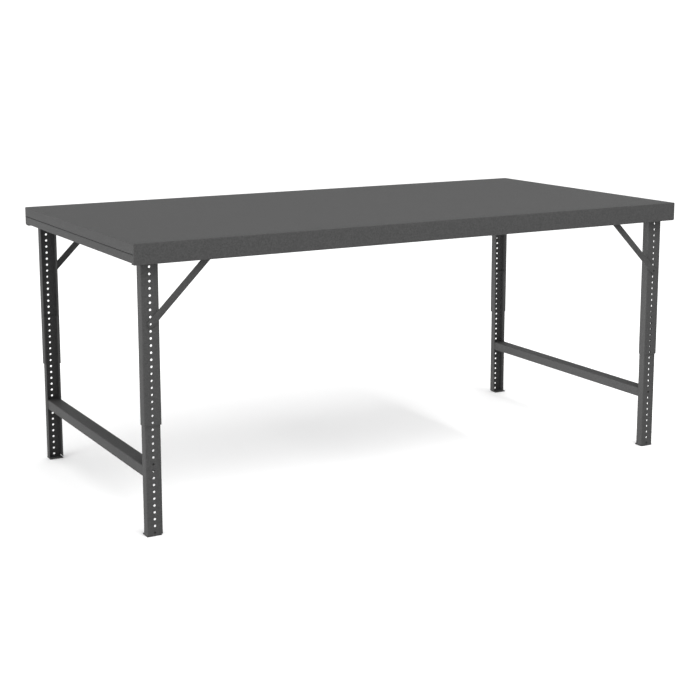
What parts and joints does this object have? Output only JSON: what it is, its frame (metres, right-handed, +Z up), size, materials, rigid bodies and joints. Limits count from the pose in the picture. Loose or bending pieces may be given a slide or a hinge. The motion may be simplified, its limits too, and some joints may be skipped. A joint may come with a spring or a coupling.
{
  "type": "work platform bench",
  "caption": "Long steel work bench: a folded sheet top with deep aprons on telescoping channel legs with rows of height holes, knee braces and end stretchers",
  "frame": {"origin": "on the floor, under the middle of the top", "axes": "+X along the length to the right, +Y across the width to the rear, +Z up"},
  "size_m": [2.438, 1.219, 1.067],
  "materials": {
    "powder_coat": "textured dark grey powder coat",
    "zinc_fastener": "zinc plated"
  },
  "bodies": {
    "top_frame": {"top_pan": "powder_coat", "left_end_channel": "powder_coat", "right_end_channel": "powder_coat", "left_leg_rail": "powder_coat", "right_leg_rail": "powder_coat", "front_stiffener": "powder_coat", "center_stiffener": "powder_coat", "rear_stiffener": "powder_coat", "leg_mount_bolts": "zinc_fastener", "leg_mount_nuts": "zinc_fastener", "brace_bolts": "zinc_fastener", "brace_nuts": "zinc_fastener", "front_left_leg_top_plate": "powder_coat", "front_left_upper_leg": "powder_coat", "front_left_brace": "powder_coat", "front_left_brace_bracket": "powder_coat", "front_right_leg_top_plate": "powder_coat", "front_right_upper_leg": "powder_coat", "front_right_brace": "powder_coat", "front_right_brace_bracket": "powder_coat", "rear_left_leg_top_plate": "powder_coat", "rear_left_upper_leg": "powder_coat", "rear_left_brace": "powder_coat", "rear_left_brace_bracket": "powder_coat", "rear_right_leg_top_plate": "powder_coat", "rear_right_upper_leg": "powder_coat", "rear_right_brace": "powder_coat", "rear_right_brace_bracket": "powder_coat"},
    "left_leg_frame": {"left_stretcher": "powder_coat", "front_left_lower_leg": "powder_coat", "front_left_foot_plate": "powder_coat", "rear_left_lower_leg": "powder_coat", "rear_left_foot_plate": "powder_coat"},
    "right_leg_frame": {"right_stretcher": "powder_coat", "front_right_lower_leg": "powder_coat", "front_right_foot_plate": "powder_coat", "rear_right_lower_leg": "powder_coat", "rear_right_foot_plate": "powder_coat"}
  },
  "joints": [
    {"name": "left_height_slide", "type": "slide", "parent": "top_frame", "child": "left_leg_frame", "axis": [0, 0, 1], "range_m": [0, 0.3556]},
    {"name": "right_height_slide", "type": "slide", "parent": "top_frame", "child": "right_leg_frame", "axis": [0, 0, 1], "range_m": [0, 0.3556]}
  ]
}
